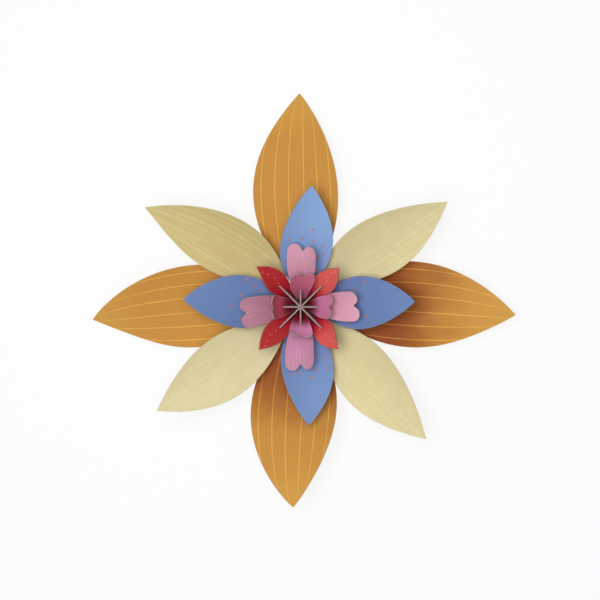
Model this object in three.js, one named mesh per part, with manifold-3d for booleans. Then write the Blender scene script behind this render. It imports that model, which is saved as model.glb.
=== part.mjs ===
// Giant paper flower: twenty-four bent card petals slotted into four crossing board ribs.
// Millimetres, +Z up. The flower lies on its back and faces +Z, with its middle on the Z axis.

import * as THREE from 'three';
import * as BufferGeometryUtils from 'three/addons/utils/BufferGeometryUtils.js';
import Module from 'manifold-3d';

const wasm = await Module();
wasm.setup();

// Sheet thicknesses and the play between pieces that slide into each other
const BOARD = 1.5;
const CARD = 1;
const CLEARANCE = 0.3;

// Ribs: how far each arm reaches from the middle, at its foot and at its top
const NARROW_FOOT_REACH = 26;
const NARROW_TOP_REACH = 18;
const WIDE_FOOT_REACH = 33;
const WIDE_TOP_REACH = 30.5;
const RIB_CORNER = 2.5;
// Height of rib left above the highest petal slot
const FINGER = 4;

// Tips and cut-outs
const TIP_WIDTH = 1;
const CUT_MARGIN = 4;

// How the bends begin: card kept flat past the rib, the length over which a swing eases in, and
// the smallest change of slope, in radians, that still counts as a bend
const FLAT_PAST_RIB = 2;
const SWING_EASE = 6;
const SMALLEST_BEND = 1e-5;

// Where each tier of petals starts above the tier below it, measured at the petal's root
const ORANGE_HEIGHT = 9;
const CREAM_STEP = 7;
const BLUE_STEP = 11;
const LONG_PINK_STEP = 13;
const RED_STEP = 7.5;
const SHORT_PINK_STEP = 6;

// The two kinds of rib: the narrow pair runs up-down and left-right, the wide pair diagonally
const NARROW = { foot: NARROW_FOOT_REACH, top: NARROW_TOP_REACH };
const WIDE = { foot: WIDE_FOOT_REACH, top: WIDE_TOP_REACH };

// Petal tiers from the outside in. Length is measured along the card from root to tip, root is the
// root's distance from the middle. Pitch is the slope of the slot and tipPitch the slope at the tip.
// Cup is how deep the card is bent across its width, shoulder is where a leaf starts to widen, skew
// moves its widest place and fullness blunts its tip. A two-lobed petal is widest at a share called
// widest of its length; lobe is the depth between its lobes and corner how far their outer corners
// round back, as a share of the width.
const ORANGE = {
  outline: 'leaf', rib: NARROW, length: 214.5, width: 90, root: 7, height: ORANGE_HEIGHT,
  pitch: 14, tipPitch: -2, cup: 7, shoulder: 2.5, skew: 1, fullness: 0.875,
  along: 16, across: 8, color: 0xc8903f,
};
const CREAM = {
  outline: 'leaf', rib: WIDE, length: 188.5, width: 65, root: 7, height: ORANGE.height + CREAM_STEP,
  pitch: 24, tipPitch: 17, cup: 7, shoulder: 12, skew: 1.06, fullness: 0.925,
  along: 16, across: 6, color: 0xd9cf9b,
};
const BLUE = {
  outline: 'leaf', rib: NARROW, length: 126, width: 55, root: 7, height: CREAM.height + BLUE_STEP,
  pitch: 36, tipPitch: 22, cup: 6.5, shoulder: 5, skew: 1.03, fullness: 0.85,
  along: 14, across: 6, color: 0x7d94c8,
};
const LONG_PINK = {
  outline: 'heart', rib: NARROW, length: 72.5, width: 31.5, root: 6.5, height: BLUE.height + LONG_PINK_STEP,
  pitch: 50, tipPitch: 27, cup: 3, widest: 1, lobe: 6.3, corner: 0.2,
  along: 8, across: 14, color: 0xd39bb8,
};
const RED = {
  outline: 'leaf', rib: WIDE, length: 69.5, width: 23, root: 7, height: LONG_PINK.height + RED_STEP,
  pitch: 45, tipPitch: 25, cup: 2.5, shoulder: 3, skew: 1.22, fullness: 1,
  along: 10, across: 4, color: 0xc23a40,
};
const SHORT_PINK = {
  outline: 'heart', rib: NARROW, length: 49.5, width: 24.5, root: 6.2, height: RED.height + SHORT_PINK_STEP,
  pitch: 58, tipPitch: 59, cup: 2.5, widest: 1, lobe: 6.4, corner: 0.2,
  along: 6, across: 12, color: 0xb55478,
};
const TIERS = [ORANGE, CREAM, BLUE, LONG_PINK, RED, SHORT_PINK];

// Every petal with the bends that a hand gave it. Arm is the side of the rib that it hangs on,
// turn swings it sideways, bow curves its middle line, lift raises its tip and roll tips it over.
const PETALS = [
  { name: 'petal_orange_top', tier: ORANGE, arm: 90, turn: 7, bow: -19.7, lift: -19, roll: -17.5 },
  { name: 'petal_orange_right', tier: ORANGE, arm: 0, turn: 3, bow: -20, lift: 3.5, roll: 1.5 },
  { name: 'petal_orange_bottom', tier: ORANGE, arm: 270, turn: -8, bow: 20, lift: 42, roll: 10.5 },
  { name: 'petal_orange_left', tier: ORANGE, arm: 180, turn: -2.5, bow: 26, lift: -9, roll: -27.5 },
  { name: 'petal_cream_top_left', tier: CREAM, arm: 135, turn: 3.5, bow: 28.5, lift: 7, roll: -16 },
  { name: 'petal_cream_top_right', tier: CREAM, arm: 45, turn: -9.5, bow: -2.5, lift: 10.5, roll: 22 },
  { name: 'petal_cream_bottom_left', tier: CREAM, arm: 225, turn: -8.5, bow: -5.5, lift: 19, roll: -19.5 },
  { name: 'petal_cream_bottom_right', tier: CREAM, arm: 315, turn: -3, bow: 4, lift: 1.5, roll: 27 },
  { name: 'petal_blue_top', tier: BLUE, arm: 90, turn: -7, bow: 1, lift: -17, roll: 23 },
  { name: 'petal_blue_right', tier: BLUE, arm: 0, turn: 6, bow: -3.5, lift: 5, roll: -9.5 },
  { name: 'petal_blue_bottom', tier: BLUE, arm: 270, turn: 10.5, bow: -10, lift: -6.5, roll: -21.5 },
  { name: 'petal_blue_left', tier: BLUE, arm: 180, turn: -6.5, bow: 3, lift: -2.5, roll: 16 },
  { name: 'petal_long_pink_top', tier: LONG_PINK, arm: 90, turn: -2, bow: -1.5, lift: -13, roll: -25 },
  { name: 'petal_long_pink_right', tier: LONG_PINK, arm: 0, turn: 1.5, bow: 1.5, lift: 5, roll: 10 },
  { name: 'petal_long_pink_bottom', tier: LONG_PINK, arm: 270, turn: -2.5, bow: 2.5, lift: -16, roll: 25 },
  { name: 'petal_long_pink_left', tier: LONG_PINK, arm: 180, turn: 7.5, bow: 0.5, lift: 1 },
  { name: 'petal_red_top_left', tier: RED, arm: 135, turn: -13, bow: 8, lift: 0.5, roll: 16.5 },
  { name: 'petal_red_top_right', tier: RED, arm: 45, turn: 2, lift: 22, roll: -6 },
  { name: 'petal_red_bottom_left', tier: RED, arm: 225, turn: 1, lift: 10, roll: 9 },
  { name: 'petal_red_bottom_right', tier: RED, arm: 315, turn: -10, bow: 3.5, lift: 25.5, roll: 18 },
  { name: 'petal_short_pink_top', tier: SHORT_PINK, arm: 90, turn: -11.5, lift: -14.5, roll: 9.5 },
  { name: 'petal_short_pink_right', tier: SHORT_PINK, arm: 0, turn: 4, lift: 2, roll: -9.5 },
  { name: 'petal_short_pink_bottom', tier: SHORT_PINK, arm: 270, turn: 4, bow: -0.7, lift: 23, roll: -11 },
  { name: 'petal_short_pink_left', tier: SHORT_PINK, arm: 180, turn: -4.5, bow: 0.8, lift: 21, roll: 3 },
];

// The ribs cross on one axis. Each is whole over its own share of the height and slotted elsewhere.
const RIBS = [
  { name: 'rib_wide_lower', kind: WIDE, arm: 45 },
  { name: 'rib_narrow_lower', kind: NARROW, arm: 0 },
  { name: 'rib_narrow_upper', kind: NARROW, arm: 90 },
  { name: 'rib_wide_upper', kind: WIDE, arm: 135 },
];
const BOARD_COLOR = 0xa39188;

const radians = THREE.MathUtils.degToRad;
const clamp = THREE.MathUtils.clamp;

// Slot geometry shared by a petal and the rib that carries it

function slopeOf(tier) {
  const angle = radians(tier.pitch);
  return { cos: Math.cos(angle), sin: Math.sin(angle), tan: Math.tan(angle), angle };
}

// Distance from the middle at which a tier's slot line leaves the sloping edge of its rib
function ribReach(tier, ribHeight) {
  const slope = slopeOf(tier);
  const draft = (tier.rib.foot - tier.rib.top) / ribHeight;
  return (tier.rib.foot - draft * (tier.height - tier.root * slope.tan)) / (1 + draft * slope.tan);
}

// The ribs are just high enough to leave a finger of board above the highest slot
function ribHeightFor(tiers) {
  const tops = tiers.map((tier) => tier.height + (tier.rib.top - tier.root) * slopeOf(tier).tan);
  return Math.max(...tops) + FINGER;
}

const RIB_HEIGHT = ribHeightFor(TIERS);

// Length of card, from the root, that lies inside the rib's outline
function heldLength(tier) {
  return (ribReach(tier, RIB_HEIGHT) - tier.root) / slopeOf(tier).cos;
}

// The petal's slit takes the inner half of that length and the rib's notch the outer half
function slitLength(tier) {
  return heldLength(tier) / 2;
}

// Half the gap at the middle that lets four boards cross at 45 degrees to each other
const HUB_GAP = (BOARD / 2) * (1 + Math.SQRT2) + Math.SQRT2 * CLEARANCE;

// Solids for cutting

function solidOf(geometry) {
  const bare = geometry.clone();
  bare.deleteAttribute('normal');
  bare.deleteAttribute('uv');
  const merged = BufferGeometryUtils.mergeVertices(bare, 1e-4);
  return new wasm.Manifold(new wasm.Mesh({
    numProp: 3,
    vertProperties: new Float32Array(merged.attributes.position.array),
    triVerts: new Uint32Array(merged.index.array),
  }));
}

function geometryOf(solid) {
  const mesh = solid.getMesh();
  const geometry = new THREE.BufferGeometry();
  geometry.setAttribute('position', new THREE.BufferAttribute(mesh.vertProperties, mesh.numProp));
  geometry.setIndex(new THREE.BufferAttribute(mesh.triVerts, 1));
  geometry.computeVertexNormals();
  return geometry;
}

// A bar lying along a tier's slot line, from one place on the line to another
function slotBar(tier, from, to, width, thickness) {
  const slope = slopeOf(tier);
  const middle = (from + to) / 2;
  const bar = new THREE.BoxGeometry(to - from, width, thickness);
  bar.rotateY(-slope.angle);
  bar.translate(tier.root + middle * slope.cos, 0, tier.height + middle * slope.sin);
  return bar;
}

// Petal outlines

// Half width at the root, which leaves the ribs on either side their room
function neckOf(tier) {
  return tier.root - CARD / 2 - Math.SQRT2 * (BOARD / 2 + 2 * CLEARANCE);
}

// Half width at a share u of the way from root to tip
function halfWidth(tier, u) {
  const neck = neckOf(tier);
  const half = tier.width / 2;
  if (tier.outline === 'heart') {
    return neck + (half - neck) * Math.sin((Math.PI / 2) * clamp(u / tier.widest, 0, 1));
  }
  const start = tier.shoulder / tier.length;
  const share = clamp((u - start) / (1 - start), 0, 1) ** tier.skew;
  const leaf = half * Math.max(Math.sin(Math.PI * share), 0) ** tier.fullness;
  const blended = u < 0.5 ? (neck ** 4 + leaf ** 4) ** 0.25 : leaf;
  return Math.max(blended, TIP_WIDTH / 2);
}

// How far the end edge of a two-lobed petal falls short of the full length, at v across it
function endDrop(tier, v) {
  if (tier.outline === 'leaf') return 0;
  const side = Math.abs(v);
  if (side < 0.5) return tier.lobe * (1 - Math.sin(Math.PI * side)) ** 1.2;
  return tier.width * tier.corner * (1 - Math.sqrt(1 - (2 * side - 1) ** 2));
}

// Bending a flat petal into place

// Takes a place on the flat card, s along it, y across it and n off its middle surface, to where
// it lies on the finished flower. Inside the rib the card stays flat, and past it the bends build up.
function bendCard(petal, s, y, n) {
  const { tier, arm, turn = 0, bow = 0, lift = 0, roll = 0 } = petal;
  const slope = slopeOf(tier);
  const flat = heldLength(tier) + FLAT_PAST_RIB;
  const free = tier.length - flat;
  const past = Math.max(s - flat, 0);

  // Across the card: the cup, then the roll
  const half = tier.width / 2;
  const radius = (half ** 2 + tier.cup ** 2) / (2 * tier.cup);
  const cupSide = (radius - n) * Math.sin(y / radius);
  const cupRise = radius - (radius - n) * Math.cos(y / radius);
  const rolled = radians(roll) * (past / free);
  const side = cupSide * Math.cos(rolled) - cupRise * Math.sin(rolled);
  const rise = cupSide * Math.sin(rolled) + cupRise * Math.cos(rolled);

  // Sideways: the middle line swings and bows
  const swing = Math.tan(radians(turn));
  const eased = past + SWING_EASE;
  const drift = swing * past ** 2 / eased + bow * (past / free) ** 2;
  const swingSlope = swing * (past ** 2 + 2 * SWING_EASE * past) / eased ** 2;
  const heading = Math.atan(swingSlope + 2 * bow * past / free ** 2);
  const ahead = s - side * Math.sin(heading);
  const across = drift + side * Math.cos(heading);

  // Up and out: the slope changes evenly from the rib's edge to the tip
  const change = radians(tier.tipPitch + lift) - slope.angle;
  const curve = (Math.abs(change) > SMALLEST_BEND ? change : SMALLEST_BEND) / free;
  const bent = Math.max(ahead - flat, 0);
  const straight = Math.min(ahead, flat);
  const angle = slope.angle + curve * bent;
  const out = tier.root + straight * slope.cos + (Math.sin(angle) - slope.sin) / curve;
  const up = tier.height + straight * slope.sin + (slope.cos - Math.cos(angle)) / curve;
  const place = new THREE.Vector3(out - rise * Math.sin(angle), across, up + rise * Math.cos(angle));
  return place.applyAxisAngle(new THREE.Vector3(0, 0, 1), radians(arm));
}

// A box as long, wide and thick as the card, moved point by point onto the bent petal
function petalGeometry(petal) {
  const { tier } = petal;
  const card = new THREE.BoxGeometry(1, 2, 1, tier.along, tier.across, 1);
  const points = card.attributes.position;
  for (let i = 0; i < points.count; i += 1) {
    const u = points.getX(i) + 0.5;
    const v = points.getY(i);
    const s = u * (tier.length - endDrop(tier, v));
    const placed = bendCard(petal, s, halfWidth(tier, u) * v, points.getZ(i) * CARD);
    points.setXYZ(i, placed.x, placed.y, placed.z);
  }
  const slit = slotBar(
    tier, -CUT_MARGIN, slitLength(tier), BOARD + 2 * CLEARANCE, CARD + CUT_MARGIN,
  );
  slit.rotateZ(radians(petal.arm));
  return geometryOf(solidOf(card).subtract(solidOf(slit)));
}

// Ribs

function ribOutline(kind) {
  const outline = new THREE.Shape();
  outline.moveTo(-kind.foot, 0);
  outline.lineTo(kind.foot, 0);
  outline.lineTo(kind.top, RIB_HEIGHT - RIB_CORNER);
  outline.quadraticCurveTo(kind.top, RIB_HEIGHT, kind.top - RIB_CORNER, RIB_HEIGHT);
  outline.lineTo(RIB_CORNER - kind.top, RIB_HEIGHT);
  outline.quadraticCurveTo(-kind.top, RIB_HEIGHT, -kind.top, RIB_HEIGHT - RIB_CORNER);
  outline.closePath();
  return outline;
}

// The notches that hold the petals, one on each arm for every tier that the rib carries
function ribNotches(kind) {
  const notches = [];
  for (const tier of TIERS.filter((each) => each.rib === kind)) {
    const start = slitLength(tier) - CLEARANCE;
    const end = heldLength(tier) + CUT_MARGIN;
    const notch = slotBar(tier, start, end, BOARD + CUT_MARGIN, CARD + 2 * CLEARANCE);
    notches.push(notch, notch.clone().rotateZ(Math.PI));
  }
  return notches;
}

// The gaps at the middle, above and below the share of the height where the rib is whole
function hubGaps(level) {
  const share = RIB_HEIGHT / RIBS.length;
  const below = level * share + CLEARANCE / 2;
  const above = (level + 1) * share - CLEARANCE / 2;
  const gaps = [];
  if (level > 0) {
    const gap = new THREE.BoxGeometry(2 * HUB_GAP, BOARD + CUT_MARGIN, below + CUT_MARGIN);
    gaps.push(gap.translate(0, 0, (below - CUT_MARGIN) / 2));
  }
  if (level < RIBS.length - 1) {
    const gap = new THREE.BoxGeometry(2 * HUB_GAP, BOARD + CUT_MARGIN, RIB_HEIGHT + CUT_MARGIN - above);
    gaps.push(gap.translate(0, 0, (RIB_HEIGHT + CUT_MARGIN + above) / 2));
  }
  return gaps;
}

function ribGeometry(rib, level) {
  const board = new THREE.ExtrudeGeometry(ribOutline(rib.kind), {
    depth: BOARD, bevelEnabled: false, curveSegments: 4,
  });
  board.translate(0, 0, -BOARD / 2);
  board.rotateX(Math.PI / 2);
  let solid = solidOf(board);
  for (const cut of [...ribNotches(rib.kind), ...hubGaps(level)]) {
    solid = solid.subtract(solidOf(cut));
  }
  return geometryOf(solid);
}

// The flower

const group = new THREE.Group();

RIBS.forEach((rib, level) => {
  const material = new THREE.MeshStandardMaterial({ color: BOARD_COLOR, roughness: 0.95, metalness: 0 });
  const mesh = new THREE.Mesh(ribGeometry(rib, level), material);
  mesh.name = rib.name;
  mesh.rotation.z = radians(rib.arm);
  group.add(mesh);
});

for (const petal of PETALS) {
  const material = new THREE.MeshStandardMaterial({ color: petal.tier.color, roughness: 0.8, metalness: 0 });
  const mesh = new THREE.Mesh(petalGeometry(petal), material);
  mesh.name = petal.name;
  group.add(mesh);
}

export default group;
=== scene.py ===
"""Giant paper flower: printed cards, cut flat and bent by hand, slotted into grey board ribs."""

import math

import bmesh
import bpy
from mathutils import Matrix, Vector


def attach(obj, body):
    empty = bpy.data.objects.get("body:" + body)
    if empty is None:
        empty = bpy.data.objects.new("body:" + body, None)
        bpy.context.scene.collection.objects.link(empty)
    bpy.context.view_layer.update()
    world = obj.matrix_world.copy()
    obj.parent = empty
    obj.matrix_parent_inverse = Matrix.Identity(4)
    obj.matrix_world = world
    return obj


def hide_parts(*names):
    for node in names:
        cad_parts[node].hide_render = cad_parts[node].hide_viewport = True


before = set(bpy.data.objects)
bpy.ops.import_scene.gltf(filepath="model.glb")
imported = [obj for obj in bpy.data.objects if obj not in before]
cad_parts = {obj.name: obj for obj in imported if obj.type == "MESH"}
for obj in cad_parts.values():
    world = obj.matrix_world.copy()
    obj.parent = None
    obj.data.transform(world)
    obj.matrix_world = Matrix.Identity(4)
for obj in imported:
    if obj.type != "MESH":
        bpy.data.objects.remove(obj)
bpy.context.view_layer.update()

# Everything below is measured in millimetres on the flat card and turned into metres at the end
MM = 0.001
BODY = "root"

# Sheets and fits
BOARD = 1.5
CARD = 1.0
CLEARANCE = 0.3
CARD_ROUNDING = 0.16
TIP_WIDTH = 1.0
ROUNDING_STEPS = 2

# Ribs: foot reach and top reach of each kind, and the height of board above the highest slot
NARROW = (26.0, 18.0)
WIDE = (33.0, 30.5)
FINGER = 4.0
RIB_CORNER = 2.5
BOARD_ROUNDING = 0.18

# Where the ribs cross: how far from the middle a cut arm keeps its thickness, and where its point ends
HUB_END = 1.95
HUB_POINT = 1.1

# How the bends of a petal begin
FLAT_PAST_RIB = 2.0
SWING_EASE = 6.0
SMALLEST_BEND = 1e-5

# The curves of the cut outlines: how sharply a leaf leaves its neck, how pointed the dip between two lobes
# is, and how much the print's lengthwise lines draw together where a leaf narrows
NECK_BLEND = 4
DIP_SHARPNESS = 1.2
LINE_GATHER = 0.4

# Cuts: points nearer than this to a cut are moved onto it, and how far past a sheet a cut runs
CUT_SNAP = 1e-4
CUT_MARGIN = 1.0
NEARLY_FLAT = 0.01

# Petal tiers from the outside in: the sizes of the cut card, how it is slotted and bent, and how many small
# faces it has along and across
TIERS = {
    "orange": dict(
        outline="leaf", rib=NARROW, length=214.5, width=90, root=7, height=9, pitch=14, tip_pitch=-2,
        cup=7, shoulder=2.5, skew=1, fullness=0.875, along=72, across=28,
    ),
    "cream": dict(
        outline="leaf", rib=WIDE, length=188.5, width=65, root=7, height=16, pitch=24, tip_pitch=17,
        cup=7, shoulder=12, skew=1.06, fullness=0.925, along=72, across=24,
    ),
    "blue": dict(
        outline="leaf", rib=NARROW, length=126, width=55, root=7, height=27, pitch=36, tip_pitch=22,
        cup=6.5, shoulder=5, skew=1.03, fullness=0.85, along=60, across=24,
    ),
    "long_pink": dict(
        outline="heart", rib=NARROW, length=72.5, width=31.5, root=6.5, height=40, pitch=50, tip_pitch=27,
        cup=3, widest=1, lobe=6.3, corner=0.2, along=36, across=40,
    ),
    "red": dict(
        outline="leaf", rib=WIDE, length=69.5, width=23, root=7, height=47.5, pitch=45, tip_pitch=25,
        cup=2.5, shoulder=3, skew=1.22, fullness=1, along=40, across=16,
    ),
    "short_pink": dict(
        outline="heart", rib=NARROW, length=49.5, width=24.5, root=6.2, height=53.5, pitch=58, tip_pitch=59,
        cup=2.5, widest=1, lobe=6.4, corner=0.2, along=28, across=40,
    ),
}

# How pale each petal is, from 0 to 1, partly its print and partly painted light and shade, lighter where a petal
# faces the lamp and darker where it faces away, how much further up its root's deeper colour reaches, as a share
# of its length, partly print and partly painted: shade on the orange, red and short pink roots,
# deepest where petals above cast their shadows, and light on the long pink roots, the arm of the ribs that it
# hangs on, and the bends a hand gave it:
# turn swings it sideways, bow curves its middle line in millimetres, lift raises its tip and roll tips it over, in
# degrees
PETALS = [
    ("orange", "top", 0.3, 0, dict(arm=90, turn=7, bow=-19.7, lift=-19, roll=-17.5)),
    ("orange", "right", 0.6, 0.51, dict(arm=0, turn=3, bow=-20, lift=3.5, roll=1.5)),
    ("orange", "bottom", 0.5, 0.38, dict(arm=270, turn=-8, bow=20, lift=42, roll=10.5)),
    ("orange", "left", 0.35, 0.05, dict(arm=180, turn=-2.5, bow=26, lift=-9, roll=-27.5)),
    ("cream", "top_left", 0.0, 0, dict(arm=135, turn=3.5, bow=28.5, lift=7, roll=-16)),
    ("cream", "top_right", 0.75, 0, dict(arm=45, turn=-9.5, bow=-2.5, lift=10.5, roll=22)),
    ("cream", "bottom_left", 1.0, 0, dict(arm=225, turn=-8.5, bow=-5.5, lift=19, roll=-19.5)),
    ("cream", "bottom_right", 0.8, 0, dict(arm=315, turn=-3, bow=4, lift=1.5, roll=27)),
    ("blue", "top", 1.0, 0, dict(arm=90, turn=-7, bow=1, lift=-17, roll=23)),
    ("blue", "right", 0.05, 0, dict(arm=0, turn=6, bow=-3.5, lift=5, roll=-9.5)),
    ("blue", "bottom", 0.45, 0, dict(arm=270, turn=10.5, bow=-10, lift=-6.5, roll=-21.5)),
    ("blue", "left", 0.0, 0, dict(arm=180, turn=-6.5, bow=3, lift=-2.5, roll=16)),
    ("long_pink", "top", 0.6, 0.2, dict(arm=90, turn=-2, bow=-1.5, lift=-13, roll=-25)),
    ("long_pink", "right", 0.95, -0.3, dict(arm=0, turn=1.5, bow=1.5, lift=5, roll=10)),
    ("long_pink", "bottom", 0.2, 0.6, dict(arm=270, turn=-2.5, bow=2.5, lift=-16, roll=25)),
    ("long_pink", "left", 0.1, -0.3, dict(arm=180, turn=7.5, bow=0.5, lift=1)),
    ("red", "top_left", 0.0, 0.1, dict(arm=135, turn=-13, bow=8, lift=0.5, roll=16.5)),
    ("red", "top_right", 1.0, 0, dict(arm=45, turn=2, lift=22, roll=-6)),
    ("red", "bottom_left", 0.1, 0.05, dict(arm=225, turn=1, lift=10, roll=9)),
    ("red", "bottom_right", 0.9, 0.15, dict(arm=315, turn=-10, bow=3.5, lift=25.5, roll=18)),
    ("short_pink", "top", 0.25, -0.1, dict(arm=90, turn=-11.5, lift=-14.5, roll=9.5)),
    ("short_pink", "right", 0.65, 0.3, dict(arm=0, turn=4, lift=2, roll=-9.5)),
    ("short_pink", "bottom", 1.0, 0.42, dict(arm=270, turn=4, bow=-0.7, lift=23, roll=-11)),
    ("short_pink", "left", 0.0, 0.35, dict(arm=180, turn=-4.5, bow=0.8, lift=21, roll=3)),
]

# Printed spots: how far along the card and how far across it each one lies
SPOTS = {
    "blue": {
        "top": [(71, 18), (71, 4), (82, -6), (69, -8), (65, -18), (56, -20), (53, -14), (38, -15), (46, 20)],
        "right": [(55, 25), (73, 21), (60, 14), (66, 1), (60, -6), (73, -14), (53, -23), (44, 20)],
        "bottom": [(54, 12), (58, 22), (69, 9), (69, 20), (72, -9), (74, -18), (77, 5), (50, -21)],
        "left": [(61, -24), (52, -18), (44, -13), (66, -7), (75, 5), (66, 18), (48, 22)],
    },
    "red": {
        "top_left": [(61, 2), (54, 0), (45, -2), (37, -1)],
        "top_right": [(62, 0), (57, 2), (49, 2), (43, 0), (32, 2)],
        "bottom_left": [(39, -1), (48, -2), (56, 0), (62, 2)],
        "bottom_right": [(33, -3), (44, -1), (54, 0), (59, 2)],
    },
}

# Each rib is whole over its own quarter of the height, from the lowest to the highest
RIBS = [
    ("rib_wide_lower", WIDE, 45), ("rib_narrow_lower", NARROW, 0),
    ("rib_narrow_upper", NARROW, 90), ("rib_wide_upper", WIDE, 135),
]


# Colours

def ink(red, green, blue):
    """A printed colour, from the 0 to 255 values of a picture to the linear ones of a shader."""
    def linear(value):
        share = value / 255
        return share / 12.92 if share <= 0.04045 else ((share + 0.055) / 1.055) ** 2.4
    return (linear(red), linear(green), linear(blue), 1.0)


# How coarse each pattern is: noise features to a metre
FIBRE_SCALE = 2600.0
FELT_SCALE = 900.0
RAGGED_SCALE = 420.0
CLOUD_SCALE = 55.0
BOARD_FLECK_SCALE = 900.0
BOARD_TONE_SCALE = 160.0
BOARD_PLY_SCALE = 700.0

# The finish that all the card and board shares
ROUGHNESS_SPREAD = 0.06
BUMP_STRENGTH = 0.5
SHINE = 0.3
RUBBED_INK = ink(222, 212, 198)

# Shader helpers

class Nodes:
    """A node tree with short calls for the nodes that the card materials are made of."""

    def __init__(self, tree):
        self.tree = tree

    def add(self, kind, **settings):
        node = self.tree.nodes.new(kind)
        for name, value in settings.items():
            setattr(node, name, value)
        return node

    def feed(self, socket, value):
        if isinstance(value, bpy.types.NodeSocket):
            self.tree.links.new(value, socket)
        else:
            socket.default_value = value

    def math(self, operation, first, second=0.0, clamp=False):
        node = self.add("ShaderNodeMath", operation=operation, use_clamp=clamp)
        self.feed(node.inputs[0], first)
        self.feed(node.inputs[1], second)
        return node.outputs[0]

    def mix(self, share, first, second, blend="MIX"):
        node = self.add("ShaderNodeMix", data_type="RGBA", blend_type=blend)
        self.feed(node.inputs["Factor"], share)
        self.feed(node.inputs[6], first)
        self.feed(node.inputs[7], second)
        return node.outputs[2]

    def steps(self, value, low, high, to_low=0.0, to_high=1.0):
        node = self.add("ShaderNodeMapRange", interpolation_type="SMOOTHSTEP")
        self.feed(node.inputs["Value"], value)
        for name, number in zip(("From Min", "From Max", "To Min", "To Max"), (low, high, to_low, to_high)):
            self.feed(node.inputs[name], number)
        return node.outputs[0]

    def noise(self, vector, scale, detail=2.0, roughness=0.5):
        node = self.add("ShaderNodeTexNoise")
        self.feed(node.inputs["Vector"], vector)
        self.feed(node.inputs["Scale"], scale)
        self.feed(node.inputs["Detail"], detail)
        self.feed(node.inputs["Roughness"], roughness)
        return node.outputs["Fac"]

    def stretched(self, vector, scale):
        node = self.add("ShaderNodeMapping")
        self.feed(node.inputs["Vector"], vector)
        node.inputs["Scale"].default_value = scale
        return node.outputs[0]

    def split(self, vector):
        node = self.add("ShaderNodeSeparateXYZ")
        self.feed(node.inputs[0], vector)
        return node.outputs

    def uv(self, name):
        return self.add("ShaderNodeUVMap", uv_map=name).outputs[0]

    # A petal's tone: partly its print, partly painted light and shade for how that petal faces the lamp
    def tone(self):
        return self.add("ShaderNodeAttribute", attribute_name="tone").outputs["Fac"]

    def above_root(self, share):
        """The share of the way to the tip, counted from where this petal's root colour ends, a colour that is
        partly print and partly painted shade and light.
        """
        return self.math("SUBTRACT", share, self.add("ShaderNodeAttribute", attribute_name="reach").outputs["Fac"])

    def group(self, tree, **values):
        node = self.add("ShaderNodeGroup", node_tree=tree)
        for name, value in values.items():
            self.feed(node.inputs[name.replace("_", " ").capitalize()], value)
        return node.outputs


def new_group(name, inputs, outputs):
    tree = bpy.data.node_groups.new(name, "ShaderNodeTree")
    for label, kind, value in inputs:
        socket = tree.interface.new_socket(label, in_out="INPUT", socket_type=kind)
        if value is not None:
            socket.default_value = value
    for label, kind in outputs:
        tree.interface.new_socket(label, in_out="OUTPUT", socket_type=kind)
    nodes = Nodes(tree)
    return tree, nodes, nodes.add("NodeGroupInput"), nodes.add("NodeGroupOutput")


FLOAT = "NodeSocketFloat"
COLOR = "NodeSocketColor"
VECTOR = "NodeSocketVector"


def paper_tooth_group():
    """The fibres and the cloudy tone of uncoated card."""
    tree, nodes, given, result = new_group(
        "paper tooth", [("Fibre", FLOAT, FIBRE_SCALE)], [("Height", FLOAT), ("Clouds", FLOAT)],
    )
    place = nodes.add("ShaderNodeTexCoord").outputs["Object"]
    fibres = nodes.noise(place, given.outputs["Fibre"], detail=3.0, roughness=0.65)
    felt = nodes.noise(place, FELT_SCALE, detail=2.0, roughness=0.5)
    height = nodes.math("ADD", nodes.math("MULTIPLY", fibres, 0.7), nodes.math("MULTIPLY", felt, 0.3))
    clouds = nodes.noise(place, CLOUD_SCALE, detail=4.0, roughness=0.6)
    nodes.feed(result.inputs["Height"], height)
    nodes.feed(result.inputs["Clouds"], clouds)
    return tree


def rim_wear_group():
    """Where ink has rubbed off along the cut edge."""
    tree, nodes, given, result = new_group("rim wear", [("Width", FLOAT, 0.5)], [("Mask", FLOAT)])
    rim = nodes.add("ShaderNodeAttribute", attribute_name="rim").outputs["Fac"]
    place = nodes.add("ShaderNodeTexCoord").outputs["Object"]
    ragged = nodes.noise(place, RAGGED_SCALE, detail=3.0, roughness=0.7)
    reach = nodes.math("MULTIPLY", given.outputs["Width"], nodes.math("MULTIPLY", ragged, 2.0))
    near = nodes.math("SUBTRACT", 1.0, nodes.math("DIVIDE", rim, reach), clamp=True)
    nodes.feed(result.inputs["Mask"], near)
    return tree


def spot_group():
    """A small printed round spot at a place on the flat card."""
    tree, nodes, given, result = new_group(
        "printed spot", [("Flat", VECTOR, None), ("Centre", VECTOR, None), ("Radius", FLOAT, 1.0)],
        [("Mask", FLOAT)],
    )
    apart = nodes.add("ShaderNodeVectorMath", operation="DISTANCE")
    nodes.feed(apart.inputs[0], given.outputs["Flat"])
    nodes.feed(apart.inputs[1], given.outputs["Centre"])
    edge = nodes.math("SUBTRACT", given.outputs["Radius"], apart.outputs["Value"])
    nodes.feed(result.inputs["Mask"], nodes.steps(edge, -0.25, 0.25))
    return tree


TOOTH = paper_tooth_group()
WEAR = rim_wear_group()
SPOT = spot_group()


# Materials

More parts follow.
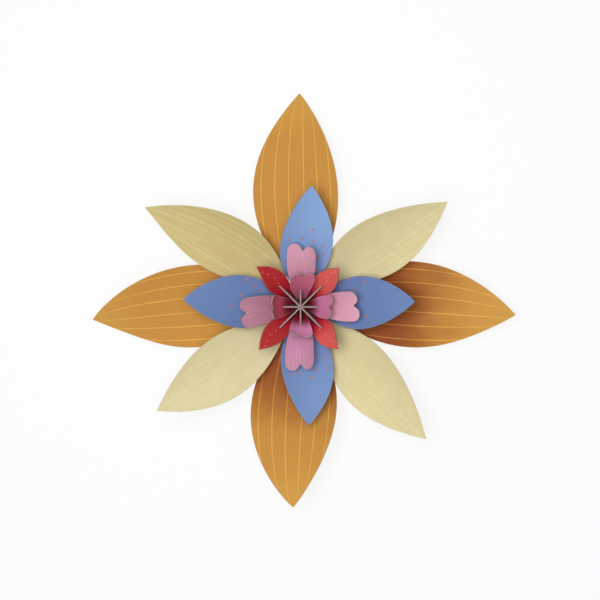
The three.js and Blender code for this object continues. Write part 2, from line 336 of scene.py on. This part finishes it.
def card_material(name, color_of, roughness=0.82, tooth=0.06, rub_share=0.2):
    """Printed card: color_of draws the print, with the petals' painted light and shade in it, then come clouds,
    rubbed edges and the paper's tooth.
    """
    material = bpy.data.materials.new(name)
    material.use_nodes = True
    nodes = Nodes(material.node_tree)
    shader = material.node_tree.nodes["Principled BSDF"]
    paper = nodes.group(TOOTH)
    color = color_of(nodes)
    shade = nodes.steps(paper["Clouds"], 0.3, 0.7, 0.975, 1.02)
    grey = nodes.add("ShaderNodeCombineColor")
    for socket in grey.inputs[:3]:
        nodes.feed(socket, shade)
    color = nodes.mix(1.0, color, grey.outputs[0], blend="MULTIPLY")
    worn = nodes.math("MULTIPLY", nodes.group(WEAR)["Mask"], rub_share)
    nodes.feed(shader.inputs["Base Color"], nodes.mix(worn, color, RUBBED_INK))
    matt = nodes.steps(paper["Clouds"], 0.2, 0.8, roughness - ROUGHNESS_SPREAD, roughness + ROUGHNESS_SPREAD)
    nodes.feed(shader.inputs["Roughness"], matt)
    bump = nodes.add("ShaderNodeBump")
    bump.inputs["Strength"].default_value = BUMP_STRENGTH
    bump.inputs["Distance"].default_value = tooth * MM
    nodes.feed(bump.inputs["Height"], paper["Height"])
    nodes.feed(shader.inputs["Normal"], bump.outputs[0])
    shader.inputs["Specular IOR Level"].default_value = SHINE
    return material


def spots_mask(nodes, spots, radius):
    """Where any of a petal's printed spots lies."""
    flat = nodes.uv("flat")
    mask = None
    for along, across in spots:
        spot = nodes.group(SPOT, flat=flat, centre=(along, across, 0), radius=radius)["Mask"]
        mask = spot if mask is None else nodes.math("MAXIMUM", mask, spot)
    return mask


def orange_print(nodes):
    """Ochre that browns towards the root, partly print and partly painted shade, with thin pale veins that follow
    the leaf's outline and fade in that shade.
    """
    share, across = nodes.split(nodes.uv("leaf"))[:2]
    first_vein = 0.18
    vein_gap = 0.32
    edge = 0.004
    inside = nodes.math("ADD", nodes.math("ABSOLUTE", across), vein_gap / 2 - first_vein)
    in_gap = nodes.math("MODULO", nodes.math("ADD", inside, vein_gap), vein_gap)
    offset = nodes.math("SUBTRACT", in_gap, vein_gap / 2)
    wobble = nodes.noise(nodes.stretched(nodes.uv("flat"), (0.02, 0.05, 1.0)), 1.0)
    half_line = nodes.steps(wobble, 0.3, 0.7, 0.0085, 0.0135)
    vein = nodes.steps(nodes.math("SUBTRACT", half_line, nodes.math("ABSOLUTE", offset)), -edge, edge)
    # The two inks: partly print tone, partly painted light and shade for how each petal faces the lamp
    base = nodes.mix(nodes.tone(), ink(194, 137, 60), ink(204, 147, 68))
    base = nodes.mix(nodes.steps(share, 0.7, 1.0, 0.0, 0.5), base, ink(214, 166, 78))
    # Painted shade, partly print: the dark brown root where the petals above shadow it
    browned_and_shaded = nodes.math("ADD", nodes.above_root(share), nodes.steps(wobble, 0.2, 0.8, -0.05, 0.05))
    base = nodes.mix(nodes.steps(browned_and_shaded, -0.1, 0.31), ink(146, 74, 30), base)
    strength = nodes.steps(browned_and_shaded, -0.1, 0.4, 0.4, 0.85)
    return nodes.mix(nodes.math("MULTIPLY", vein, strength), base, ink(230, 174, 78))


def cream_print(nodes):
    """Cream with rows of fine pale dashes along the leaf, and painted light that pales it towards the root."""
    leaf = nodes.uv("leaf")
    flat = nodes.uv("flat")
    row_gap = 0.27
    half_dash = 0.007
    edge = 0.005
    drift = nodes.noise(nodes.stretched(leaf, (1.6, 1.2, 1.0)), 1.0, detail=1.0)
    row = nodes.math("ADD", nodes.split(leaf)[1], nodes.math("MULTIPLY", drift, 0.16))
    offset = nodes.math("SUBTRACT", nodes.math("MODULO", nodes.math("ADD", row, 2.0), row_gap), row_gap / 2)
    line = nodes.steps(nodes.math("SUBTRACT", half_dash, nodes.math("ABSOLUTE", offset)), -edge, edge)
    breaks = nodes.noise(nodes.stretched(flat, (0.12, 0.33, 1.0)), 1.0, detail=1.0)
    dash = nodes.math("MULTIPLY", line, nodes.steps(breaks, 0.52, 0.6))
    haze = nodes.noise(nodes.stretched(leaf, (1.5, 9.0, 1.0)), 1.0, detail=2.0)
    # The two inks: partly print tone, partly painted light and shade for how each petal faces the lamp
    base = nodes.mix(nodes.tone(), ink(201, 183, 122), ink(221, 209, 162))
    base = nodes.mix(nodes.steps(haze, 0.4, 0.75, 0.0, 0.28), base, ink(234, 224, 180))
    # Painted light: paler towards the root, against the shade that the petals above put there
    base = nodes.mix(nodes.steps(nodes.split(leaf)[0], 0.15, 0.5, 0.2, 0.0), base, ink(240, 230, 188))
    strength = nodes.steps(nodes.tone(), 0.0, 1.0, 0.25, 0.5)
    return nodes.mix(nodes.math("MULTIPLY", dash, strength), base, ink(248, 242, 216))


def blue_print(nodes, spots):
    """Blue with small rust spots round the two-lobed petal above it, and painted light that pales it towards the
    root.
    """
    spot_radius = 1.4
    share = nodes.split(nodes.uv("leaf"))[0]
    # The two inks: partly print tone, partly painted light and shade for how each petal faces the lamp
    base = nodes.mix(nodes.tone(), ink(104, 128, 176), ink(131, 161, 207))
    # Painted light: paler towards the root, against the shade there
    base = nodes.mix(nodes.steps(share, 0.2, 0.7, 0.3, 0.0), base, ink(120, 140, 206))
    return nodes.mix(nodes.math("MULTIPLY", spots_mask(nodes, spots, spot_radius), 0.8), base, ink(184, 122, 104))


def pale_pink_print(nodes):
    """Pale pink with faint paler streaks and a mauve root, partly print and partly painted light."""
    leaf = nodes.uv("leaf")
    share = nodes.split(leaf)[0]
    streaks = nodes.noise(nodes.stretched(leaf, (1.5, 11.0, 1.0)), 1.0, detail=1.0)
    # The two inks: partly print tone, partly painted light and shade for how each petal faces the lamp
    base = nodes.mix(nodes.tone(), ink(176, 122, 140), ink(218, 162, 183))
    # A mauve root, lighter on the darker petals: partly print, partly painted light against the shade under the
    # short pinks
    root = nodes.mix(0.6, base, ink(200, 136, 180))
    base = nodes.mix(nodes.steps(nodes.above_root(share), 0.0, 0.6), root, base)
    return nodes.mix(nodes.math("MULTIPLY", nodes.steps(streaks, 0.58, 0.7), 0.2), base, ink(238, 200, 212))


def red_print(nodes, spots):
    """Red, crimson and then dark at the root, with a row of small pale spots; the dark is painted shade."""
    spot_radius = 0.8
    share = nodes.split(nodes.uv("leaf"))[0]
    # The two inks: partly print tone, partly painted light and shade for how each petal faces the lamp
    base = nodes.mix(nodes.tone(), ink(170, 35, 39), ink(222, 93, 86))
    rooted = nodes.above_root(share)
    base = nodes.mix(nodes.steps(rooted, 0.15, 0.55), ink(186, 6, 44), base)
    # Painted shade: the near black red where the hub's well is in shadow
    base = nodes.mix(nodes.steps(rooted, 0.02, 0.3), ink(100, 4, 28), base)
    strength = nodes.steps(nodes.tone(), 0.0, 1.0, 0.35, 0.6)
    spotted_share = nodes.math("MULTIPLY", spots_mask(nodes, spots, spot_radius), strength)
    return nodes.mix(spotted_share, base, ink(240, 172, 150))


def deep_pink_print(nodes):
    """Pink that turns to crimson at the root, partly print and partly painted shade where the hub's well is dark.
    """
    share = nodes.split(nodes.uv("leaf"))[0]
    # The two inks: partly print tone, partly painted light and shade, rose where a petal faces away from the lamp
    # and mauve where it faces it
    base = nodes.mix(nodes.tone(), ink(182, 76, 94), ink(222, 146, 190))
    # Crimson root: partly print, partly painted shade from the dark well
    return nodes.mix(nodes.steps(nodes.above_root(share), -0.15, 0.3), ink(130, 10, 36), base)


def plain(red, green, blue):
    """A print of one colour, which the paper's clouds and rubbed rim still vary."""
    return lambda nodes: ink(red, green, blue)


def spotted(draw, spots):
    """A print with one petal's own spots."""
    return lambda nodes: draw(nodes, spots)


# The print of each family of petals, with painted light and shade in it, and the colour of its back
PRINTS = {
    "orange": (orange_print, (196, 140, 74)),
    "cream": (cream_print, (214, 202, 152)),
    "blue": (blue_print, (118, 140, 188)),
    "long_pink": (pale_pink_print, (200, 144, 166)),
    "red": (red_print, (190, 52, 56)),
    "short_pink": (deep_pink_print, (190, 92, 122)),
}

# The colour inside the card, which its cut edge shows
CORES = {
    "orange": (204, 144, 74), "cream": (222, 210, 166), "blue": (116, 134, 178),
    "long_pink": (158, 140, 142), "red": (132, 88, 78), "short_pink": (150, 140, 138),
}


def core_material(family):
    """The cut edge of a petal's card."""
    return card_material(f"{family} cut edge", plain(*CORES[family]), roughness=0.9, tooth=0.12, rub_share=0.0)


def board_print(nodes):
    """Grey board with pressed fibres and small flecks."""
    place = nodes.add("ShaderNodeTexCoord").outputs["Object"]
    flecks = nodes.noise(place, BOARD_FLECK_SCALE, detail=3.0, roughness=0.8)
    tone = nodes.noise(nodes.stretched(place, (1.0, 1.0, 6.0)), BOARD_TONE_SCALE, detail=3.0)
    base = nodes.mix(nodes.steps(tone, 0.35, 0.65), ink(142, 125, 119), ink(162, 144, 136))
    return nodes.mix(nodes.math("MULTIPLY", nodes.steps(flecks, 0.62, 0.72), 0.5), base, ink(116, 103, 97))


def board_plies(nodes):
    """The cut edge of the board, where its pressed plies show as fine lines."""
    place = nodes.add("ShaderNodeTexCoord").outputs["Object"]
    ply = nodes.add("ShaderNodeAttribute", attribute_name="ply").outputs["Fac"]
    ragged = nodes.math("MULTIPLY", nodes.noise(place, BOARD_PLY_SCALE, detail=3.0), 0.5)
    wave = nodes.math("SINE", nodes.math("MULTIPLY", nodes.math("ADD", ply, ragged), 11.0))
    lines = nodes.steps(wave, -0.2, 0.9)
    return nodes.mix(nodes.math("MULTIPLY", lines, 0.6), ink(162, 143, 139), ink(134, 117, 113))


# The cut card

def slope_of(tier):
    """The angle of a petal's slot."""
    return math.radians(tier["pitch"])


def rib_height():
    """The height of every rib, which leaves a finger of board above the highest slot."""
    tops = [t["height"] + (t["rib"][1] - t["root"]) * math.tan(slope_of(t)) for t in TIERS.values()]
    return max(tops) + FINGER


def held_length(tier):
    """Card, from the root, that lies inside the rib's outline."""
    foot, top = tier["rib"]
    slope = math.tan(slope_of(tier))
    draft = (foot - top) / rib_height()
    reach = (foot - draft * (tier["height"] - tier["root"] * slope)) / (1 + draft * slope)
    return (reach - tier["root"]) / math.cos(slope_of(tier))


def half_width(tier, share):
    """Half the card's width at a share of the way from root to tip."""
    neck = tier["root"] - CARD / 2 - math.sqrt(2) * (BOARD / 2 + 2 * CLEARANCE)
    half = tier["width"] / 2
    if tier["outline"] == "heart":
        return neck + (half - neck) * math.sin(math.pi / 2 * min(max(share / tier["widest"], 0), 1))
    start = tier["shoulder"] / tier["length"]
    part = min(max((share - start) / (1 - start), 0), 1) ** tier["skew"]
    leaf = half * max(math.sin(math.pi * part), 0) ** tier["fullness"]
    blended = (neck ** NECK_BLEND + leaf ** NECK_BLEND) ** (1 / NECK_BLEND) if share < 0.5 else leaf
    return max(blended, TIP_WIDTH / 2)


def end_drop(tier, across):
    """How far the end edge of a two-lobed petal falls short of the full length."""
    if tier["outline"] == "leaf":
        return 0.0
    side = abs(across)
    if side < 0.5:
        return tier["lobe"] * (1 - math.sin(math.pi * side)) ** DIP_SHARPNESS
    return tier["width"] * tier["corner"] * (1 - math.sqrt(max(1 - (2 * side - 1) ** 2, 0)))


def bend_card(tier, arm, s, y, n, turn=0.0, bow=0.0, lift=0.0, roll=0.0):
    """From a place on the flat card to where it lies on the flower, both in millimetres."""
    slope = slope_of(tier)
    flat = held_length(tier) + FLAT_PAST_RIB
    free = tier["length"] - flat
    past = max(s - flat, 0)
    half = tier["width"] / 2
    radius = (half ** 2 + tier["cup"] ** 2) / (2 * tier["cup"])
    cup_side = (radius - n) * math.sin(y / radius)
    cup_rise = radius - (radius - n) * math.cos(y / radius)
    rolled = math.radians(roll) * past / free
    side = cup_side * math.cos(rolled) - cup_rise * math.sin(rolled)
    rise = cup_side * math.sin(rolled) + cup_rise * math.cos(rolled)
    swing = math.tan(math.radians(turn))
    eased = past + SWING_EASE
    drift = swing * past ** 2 / eased + bow * (past / free) ** 2
    swing_slope = swing * (past ** 2 + 2 * SWING_EASE * past) / eased ** 2
    heading = math.atan(swing_slope + 2 * bow * past / free ** 2)
    ahead = s - side * math.sin(heading)
    across = drift + side * math.cos(heading)
    change = math.radians(tier["tip_pitch"] + lift) - slope
    curve = (change if abs(change) > SMALLEST_BEND else SMALLEST_BEND) / free
    angle = slope + curve * max(ahead - flat, 0)
    straight = min(ahead, flat)
    out = tier["root"] + straight * math.cos(slope) + (math.sin(angle) - math.sin(slope)) / curve
    up = tier["height"] + straight * math.sin(slope) + (math.cos(slope) - math.cos(angle)) / curve
    place = Vector((out - rise * math.sin(angle), across, up + rise * math.cos(angle)))
    return Matrix.Rotation(math.radians(arm), 3, "Z") @ place


def flat_card(tier):
    """The petal's outline as a sheet of small faces, s along X and y along Y."""
    card = bmesh.new()
    bmesh.ops.create_grid(card, x_segments=tier["along"], y_segments=tier["across"], size=1.0)
    for vert in card.verts:
        share = (vert.co.x + 1) / 2
        across = vert.co.y
        vert.co.x = share * (tier["length"] - end_drop(tier, across))
        vert.co.y = half_width(tier, share) * across
    return card


def cut_slit(card, tier):
    """The slit that slides over the rib, open at the root."""
    slit = held_length(tier) / 2
    side = BOARD / 2 + CLEARANCE
    for place, direction in (((0, side, 0), (0, 1, 0)), ((0, -side, 0), (0, 1, 0)), ((slit, 0, 0), (1, 0, 0))):
        near = [face for face in card.faces if min(vert.co.x for vert in face.verts) < slit + CUT_MARGIN]
        geometry = set(near)
        for face in near:
            geometry.update(face.edges)
            geometry.update(face.verts)
        bmesh.ops.bisect_plane(card, geom=list(geometry), plane_co=place, plane_no=direction, dist=CUT_SNAP)
    gone = []
    for face in card.faces:
        middle = face.calc_center_median()
        if middle.x < slit and abs(middle.y) < side:
            gone.append(face)
    bmesh.ops.delete(card, geom=gone, context="FACES")


PRINT_SIDE, CORE, BACK = 0, 1, 2


def thicken(card):
    """Gives the sheet its thickness, marks printed face, cut edge and back, and eases the edges."""
    sheet = bmesh.ops.extrude_face_region(card, geom=card.faces[:])
    risen = [part for part in sheet["geom"] if isinstance(part, bmesh.types.BMVert)]
    bmesh.ops.translate(card, verts=risen, vec=(0, 0, CARD))
    bmesh.ops.translate(card, verts=card.verts[:], vec=(0, 0, -CARD / 2))
    bmesh.ops.recalc_face_normals(card, faces=card.faces[:])
    for face in card.faces:
        if abs(face.normal.z) < 0.5:
            face.material_index = CORE
        else:
            face.material_index = PRINT_SIDE if face.normal.z > 0 else BACK
        face.smooth = True
    rims = [edge for edge in card.edges if len({face.material_index for face in edge.link_faces}) > 1]
    bmesh.ops.bevel(
        card, geom=rims, offset=CARD_ROUNDING, offset_type="OFFSET", segments=ROUNDING_STEPS, profile=0.5,
        affect="EDGES", material=-1, clamp_overlap=True,
    )
    for edge in card.edges:
        flat_sides = [face for face in edge.link_faces if abs(face.normal.z) > 0.999]
        edge.smooth = len(flat_sides) != 1


def share_along(tier, s, y):
    """The share of the way from root to tip at a place on the flat card."""
    share = s / tier["length"]
    for _ in range(3):
        across = min(max(y / half_width(tier, min(share, 1)), -1), 1)
        share = s / (tier["length"] - end_drop(tier, across))
    return min(max(share, 0), 1)


def lay_print(card, tier, tone, reach):
    """Two flat maps for the print, in millimetres and along the leaf, with its tone, reach and rim distance; tone
    and reach carry painted light and shade as well as print.
    """
    flat_map = card.loops.layers.uv.new("flat")
    leaf_map = card.loops.layers.uv.new("leaf")
    rim = card.verts.layers.float.new("rim")
    tone_and_painted_light = card.verts.layers.float.new("tone")
    root_print_and_painted_light = card.verts.layers.float.new("reach")
    half = tier["width"] / 2
    shares = {}
    for vert in card.verts:
        s, y = vert.co.x, vert.co.y
        share = share_along(tier, s, y)
        width = half_width(tier, share)
        shares[vert] = (share, y / (half * (width / half) ** LINE_GATHER))
        vert[rim] = max(min(width - abs(y), tier["length"] - s), 0)
        vert[tone_and_painted_light] = tone
        vert[root_print_and_painted_light] = reach
    for face in card.faces:
        for loop in face.loops:
            loop[flat_map].uv = (loop.vert.co.x, loop.vert.co.y)
            loop[leaf_map].uv = shares[loop.vert]


def place_piece(piece, name, node, materials):
    """Turns a finished bmesh into the object that stands for a CAD node."""
    bmesh.ops.recalc_face_normals(piece, faces=piece.faces[:])
    mesh = bpy.data.meshes.new(name)
    piece.to_mesh(mesh)
    piece.free()
    for material in materials:
        mesh.materials.append(material)
    made = bpy.data.objects.new(name, mesh)
    bpy.context.collection.objects.link(made)
    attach(made, BODY)
    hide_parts(node)


def make_petal(family, side, tone, reach, bends, materials):
    """One petal, cut, thickened and printed flat, and then bent."""
    tier = TIERS[family]
    name = f"petal_{family}_{side}"
    card = flat_card(tier)
    cut_slit(card, tier)
    thicken(card)
    lay_print(card, tier, tone, reach)
    arm = bends["arm"]
    hand = {key: value for key, value in bends.items() if key != "arm"}
    for vert in card.verts:
        s, y, n = vert.co
        vert.co = bend_card(tier, arm, s, y, n, **hand) * MM
    place_piece(card, f"{name}_card", name, materials)


# The cut board

def cut_window(sheet, start, direction, length, half):
    """Removes a straight opening from a flat upright sheet, so long and wide either side of its line."""
    along = Vector((direction[0], 0, direction[1]))
    across = Vector((-direction[1], 0, direction[0]))
    begin = Vector((start[0], 0, start[1]))
    planes = [(begin, along), (begin + along * length, along), (begin + across * half, across),
              (begin - across * half, across)]
    for place, normal in planes:
        geometry = sheet.verts[:] + sheet.edges[:] + sheet.faces[:]
        bmesh.ops.bisect_plane(sheet, geom=geometry, plane_co=place, plane_no=normal, dist=CUT_SNAP)
    gone = []
    for face in sheet.faces:
        offset = face.calc_center_median() - begin
        if 0 < offset.dot(along) < length and abs(offset.dot(across)) < half:
            gone.append(face)
    bmesh.ops.delete(sheet, geom=gone, context="FACES")
    bmesh.ops.dissolve_limit(sheet, angle_limit=NEARLY_FLAT, verts=sheet.verts[:], edges=sheet.edges[:])


def flat_rib(kind, level):
    """A rib's outline as an upright sheet, with its notches and its share of the crossing cut out."""
    foot, top = kind
    height = rib_height()
    sheet = bmesh.new()
    corners = [sheet.verts.new((x, 0, z)) for x, z in ((-foot, 0), (foot, 0), (top, height), (-top, height))]
    sheet.faces.new(corners)
    bmesh.ops.bevel(
        sheet, geom=corners[2:], offset=RIB_CORNER, offset_type="OFFSET", segments=5, profile=0.5,
        affect="VERTICES", material=-1,
    )
    for tier in TIERS.values():
        if tier["rib"] != kind:
            continue
        slope = slope_of(tier)
        reach = held_length(tier) / 2 - CLEARANCE
        for hand in (1, -1):
            start = (hand * (tier["root"] + reach * math.cos(slope)), tier["height"] + reach * math.sin(slope))
            direction = (hand * math.cos(slope), math.sin(slope))
            cut_window(sheet, start, direction, foot, CARD / 2 + CLEARANCE)
    share = height / len(RIBS)
    if level > 0:
        cut_window(sheet, (0, -CUT_MARGIN), (0, 1), level * share + CLEARANCE / 2 + CUT_MARGIN, HUB_END)
    if level < len(RIBS) - 1:
        cut_window(sheet, (0, (level + 1) * share - CLEARANCE / 2), (0, 1), height, HUB_END)
    return sheet


BOARD_FACE, BOARD_EDGE = 0, 1


def make_rib(name, kind, arm, level, materials):
    """One rib, thickened from its outline in two layers, so that its ends at the crossing come to a wedge."""
    rib = flat_rib(kind, level)
    ply = rib.verts.layers.float.new("ply")
    bmesh.ops.translate(rib, verts=rib.verts[:], vec=(0, -BOARD / 2, 0))
    layer = rib.faces[:]
    for _ in range(2):
        outline = {edge for face in layer for edge in face.edges}
        grown = bmesh.ops.extrude_face_region(rib, geom=layer + list(outline))["geom"]
        layer = [part for part in grown if isinstance(part, bmesh.types.BMFace)]
        risen = [part for part in grown if isinstance(part, bmesh.types.BMVert)]
        bmesh.ops.translate(rib, verts=risen, vec=(0, BOARD / 2, 0))
    for vert in rib.verts:
        vert[ply] = vert.co.y
        if abs(vert.co.y) < NEARLY_FLAT and abs(abs(vert.co.x) - HUB_END) < NEARLY_FLAT:
            vert.co.x = math.copysign(HUB_POINT, vert.co.x)
    bmesh.ops.recalc_face_normals(rib, faces=rib.faces[:])
    for face in rib.faces:
        face.material_index = BOARD_FACE if abs(face.normal.y) > 0.99 else BOARD_EDGE
    rims = [edge for edge in rib.edges if len({face.material_index for face in edge.link_faces}) > 1]
    bmesh.ops.bevel(
        rib, geom=rims, offset=BOARD_ROUNDING, offset_type="OFFSET", segments=ROUNDING_STEPS, profile=0.5,
        affect="EDGES", material=BOARD_EDGE, clamp_overlap=True,
    )
    bmesh.ops.rotate(rib, verts=rib.verts[:], cent=(0, 0, 0), matrix=Matrix.Rotation(math.radians(arm), 3, "Z"))
    bmesh.ops.scale(rib, verts=rib.verts[:], vec=(MM, MM, MM))
    place_piece(rib, f"{name}_board", name, materials)


def make_petals():
    # The petals' print materials carry painted light and shade too, through each petal's tone and reach
    for family, (draw, back_color) in PRINTS.items():
        cut_edge = core_material(family)
        back = card_material(f"{family} back", plain(*back_color))
        if family not in SPOTS:
            printed = card_material(f"{family} print", draw)
        for tier_name, side, tone, reach, bends in PETALS:
            if tier_name != family:
                continue
            if family in SPOTS:
                words = side.replace("_", " ")
                printed = card_material(f"{family} print {words}", spotted(draw, SPOTS[family][side]))
            make_petal(family, side, tone, reach, bends, (printed, cut_edge, back))


def make_ribs():
    boards = (
        card_material("grey board", board_print, roughness=0.92, tooth=0.2, rub_share=0.0),
        card_material("grey board cut edge", board_plies, roughness=0.94, tooth=0.25, rub_share=0.0),
    )
    for level, (name, kind, arm) in enumerate(RIBS):
        make_rib(name, kind, arm, level, boards)


# Floor, light and camera

FLOOR_SIZE = 30.0
FLOOR_WHITE = 0.9
CAMERA_WHITE = 0.85
KEY_DIRECTION = (-0.07, 0.08, 1.0)
KEY_DISTANCE = 1.5
KEY_SIZE = 0.6
KEY_POWER = 16.9
WORLD_STRENGTH = 0.29


def rays_that_see(nodes):
    """One for a ray that shows the background to the eye, straight on, mirrored or seen through."""
    rays = nodes.add("ShaderNodeLightPath")
    seen = nodes.math("MAXIMUM", rays.outputs["Is Camera Ray"], rays.outputs["Is Glossy Ray"])
    return nodes.math("MAXIMUM", seen, rays.outputs["Is Transmission Ray"])


def floor_material():
    """A white floor that a soft shadow still shows on."""
    material = bpy.data.materials.new("white floor")
    material.use_nodes = True
    nodes = Nodes(material.node_tree)
    shader = material.node_tree.nodes["Principled BSDF"]
    output = material.node_tree.nodes["Material Output"]
    shader.inputs["Base Color"].default_value = (FLOOR_WHITE, FLOOR_WHITE, FLOOR_WHITE, 1)
    shader.inputs["Roughness"].default_value = 0.9
    shader.inputs["Specular IOR Level"].default_value = 0.1
    glow = nodes.add("ShaderNodeEmission")
    seen = rays_that_see(nodes)
    blend = nodes.add("ShaderNodeMixShader")
    nodes.feed(blend.inputs[0], nodes.math("MULTIPLY", seen, CAMERA_WHITE))
    nodes.feed(blend.inputs[1], shader.outputs[0])
    nodes.feed(blend.inputs[2], glow.outputs[0])
    nodes.feed(output.inputs["Surface"], blend.outputs[0])
    return material


def make_floor():
    sheet = bmesh.new()
    bmesh.ops.create_grid(sheet, x_segments=1, y_segments=1, size=FLOOR_SIZE / 2)
    mesh = bpy.data.meshes.new("floor")
    sheet.to_mesh(mesh)
    sheet.free()
    mesh.materials.append(floor_material())
    floor = bpy.data.objects.new("floor", mesh)
    bpy.context.collection.objects.link(floor)


def make_key_light():
    """A round softbox in front of the flower, a little up and to the left."""
    data = bpy.data.lights.new("key", "AREA")
    data.shape = "DISK"
    data.size = KEY_SIZE
    data.energy = KEY_POWER
    light = bpy.data.objects.new("key", data)
    towards = Vector(KEY_DIRECTION).normalized()
    light.location = towards * KEY_DISTANCE
    light.rotation_euler = towards.to_track_quat("Z", "Y").to_euler()
    bpy.context.collection.objects.link(light)


def make_world():
    """Even light from all round, which looks white where it is seen."""
    world = bpy.data.worlds.new("studio")
    bpy.context.scene.world = world
    world.use_nodes = True
    nodes = Nodes(world.node_tree)
    background = world.node_tree.nodes["Background"]
    background.inputs["Color"].default_value = (1, 1, 1, 1)
    seen = rays_that_see(nodes)
    level = nodes.add("ShaderNodeMapRange")
    nodes.feed(level.inputs["Value"], seen)
    level.inputs["To Min"].default_value = WORLD_STRENGTH
    level.inputs["To Max"].default_value = 1.0
    nodes.feed(background.inputs["Strength"], level.outputs[0])


# The photograph's view: almost straight down, with the middle of the ribs at this pixel of the frame
FRAME_PIXELS = 600
HUB_PIXEL = (300.6, 306.9)
HUB_HEIGHT = 74.0
VIEW_TILT = (2.0, 4.0)
VIEW_DISTANCE = 1600.0
VIEW_TARGET = Vector((0, 0, 30.0))
MM_PER_PIXEL = 1.035
SENSOR = 36.0


def make_camera():
    towards = Vector((math.tan(math.radians(VIEW_TILT[0])), math.tan(math.radians(VIEW_TILT[1])), 1)).normalized()
    right = Vector((0, 1, 0)).cross(towards).normalized()
    up = towards.cross(right)
    place = VIEW_TARGET + towards * VIEW_DISTANCE
    hub = Vector((0, 0, HUB_HEIGHT)) - place
    depth = -hub.dot(towards)
    pixels = VIEW_DISTANCE / MM_PER_PIXEL
    wanted = ((HUB_PIXEL[0] - FRAME_PIXELS / 2) / pixels, (FRAME_PIXELS / 2 - HUB_PIXEL[1]) / pixels)
    place += right * (hub.dot(right) - wanted[0] * depth)
    place += up * (hub.dot(up) - wanted[1] * depth)
    data = bpy.data.cameras.new("camera")
    data.sensor_width = SENSOR
    data.lens = SENSOR * VIEW_DISTANCE / (MM_PER_PIXEL * FRAME_PIXELS)
    camera = bpy.data.objects.new("camera", data)
    turned = Matrix((right, up, towards)).transposed().to_4x4()
    camera.matrix_world = Matrix.Translation(place * MM) @ turned
    bpy.context.collection.objects.link(camera)
    bpy.context.scene.camera = camera


make_petals()
make_ribs()
make_floor()
make_key_light()
make_world()
make_camera()
bpy.context.scene.view_settings.view_transform = "Standard"
